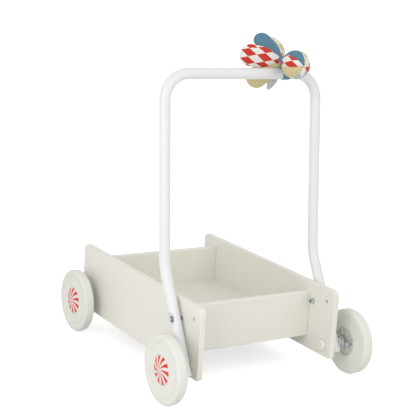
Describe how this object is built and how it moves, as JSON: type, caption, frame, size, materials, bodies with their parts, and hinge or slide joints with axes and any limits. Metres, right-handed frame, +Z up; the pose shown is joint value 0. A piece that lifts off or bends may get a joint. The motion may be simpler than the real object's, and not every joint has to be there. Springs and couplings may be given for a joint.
{
  "type": "toddler push cart",
  "caption": "Wooden box cart on rubber-tyred wheels with a bent steel push bar, friction brakes on the rear axles and a squeaky stuffed flower on the bar.",
  "frame": {"origin": "on the floor, midway between the two axles and between the two sides", "axes": "+X towards the right of the child who pushes, +Y the way the cart is pushed, +Z up"},
  "size_m": [0.3798, 0.473, 0.5574],
  "materials": {
    "painted_board": "satin paint on board, off-white",
    "white_enamel": "gloss white powder coat",
    "wheel_plastic": "moulded, off-white",
    "rubber": "soft off-white rubber",
    "printed_cap": "off-white with a printed red pinwheel swirl",
    "nylon": "smooth natural nylon",
    "squeaker_plastic": "thin blow-moulded, translucent white",
    "zinc": "zinc plated",
    "check_cotton": "red and white woven check",
    "blue_cotton": "plain weave, dusty blue",
    "cream_cotton": "plain weave, yellow cream",
    "grey_cotton": "plain weave, light blue-grey"
  },
  "bodies": {
    "cart": {"side_panel_left": "painted_board", "side_panel_right": "painted_board", "rear_board": "painted_board", "front_board": "painted_board", "base_board": "painted_board", "handle_tube": "white_enamel", "handle_bolt_left": "zinc", "handle_leg_washer_left": "zinc", "handle_nut_left": "zinc", "rear_axle_bolt_left": "zinc", "rear_lock_nut_left": "zinc", "brake_collar_left": "zinc", "brake_screw_left": "zinc", "front_axle_bolt_left": "zinc", "front_lock_nut_left": "zinc", "rear_axle_cap_left": "nylon", "rear_leg_spacer_left": "nylon", "rear_glide_ring_left": "nylon", "front_axle_cap_left": "nylon", "front_spacer_left": "nylon", "handle_bolt_right": "zinc", "handle_leg_washer_right": "zinc", "handle_nut_right": "zinc", "rear_axle_bolt_right": "zinc", "rear_lock_nut_right": "zinc", "brake_collar_right": "zinc", "brake_screw_right": "zinc", "front_axle_bolt_right": "zinc", "front_lock_nut_right": "zinc", "rear_axle_cap_right": "nylon", "rear_leg_spacer_right": "nylon", "rear_glide_ring_right": "nylon", "front_axle_cap_right": "nylon", "front_spacer_right": "nylon"},
    "wheel_rear_left": {"tyre_rear_left": "rubber", "wheel_hub_rear_left": "wheel_plastic", "wheel_bush_rear_left": "nylon", "hub_cap_rear_left": "printed_cap"},
    "wheel_rear_right": {"tyre_rear_right": "rubber", "wheel_hub_rear_right": "wheel_plastic", "wheel_bush_rear_right": "nylon", "hub_cap_rear_right": "printed_cap"},
    "wheel_front_left": {"tyre_front_left": "rubber", "wheel_hub_front_left": "wheel_plastic", "wheel_bush_front_left": "nylon", "hub_cap_front_left": "printed_cap"},
    "wheel_front_right": {"tyre_front_right": "rubber", "wheel_hub_front_right": "wheel_plastic", "wheel_bush_front_right": "nylon", "hub_cap_front_right": "printed_cap"},
    "loop": {"toy_loop": "blue_cotton"},
    "flower": {"toy_ball": "check_cotton", "toy_squeaker": "squeaker_plastic", "toy_neck": "blue_cotton", "toy_petal_check": "check_cotton", "toy_petal_blue": "blue_cotton", "toy_petal_cream": "cream_cotton", "toy_petal_red": "check_cotton", "toy_petal_grey": "grey_cotton", "toy_petal_yellow": "cream_cotton"}
  },
  "joints": [
    {"name": "wheel_rear_left_spin", "type": "hinge", "parent": "cart", "child": "wheel_rear_left", "pos_m": [-0.1752, -0.1815, 0.055], "axis": [1, 0, 0], "continuous": true},
    {"name": "wheel_rear_right_spin", "type": "hinge", "parent": "cart", "child": "wheel_rear_right", "pos_m": [0.1752, -0.1815, 0.055], "axis": [1, 0, 0], "continuous": true},
    {"name": "wheel_front_left_spin", "type": "hinge", "parent": "cart", "child": "wheel_front_left", "pos_m": [-0.1548, 0.1815, 0.055], "axis": [1, 0, 0], "continuous": true},
    {"name": "wheel_front_right_spin", "type": "hinge", "parent": "cart", "child": "wheel_front_right", "pos_m": [0.1548, 0.1815, 0.055], "axis": [1, 0, 0], "continuous": true},
    {"name": "loop_slide", "type": "slide", "parent": "cart", "child": "loop", "axis": [1, 0, 0], "range_m": [-0.142, 0.002]},
    {"name": "flower_swing", "type": "hinge", "parent": "loop", "child": "flower", "pos_m": [0.073, -0.0708, 0.4952], "axis": [1, 0, 0], "continuous": true}
  ]
}
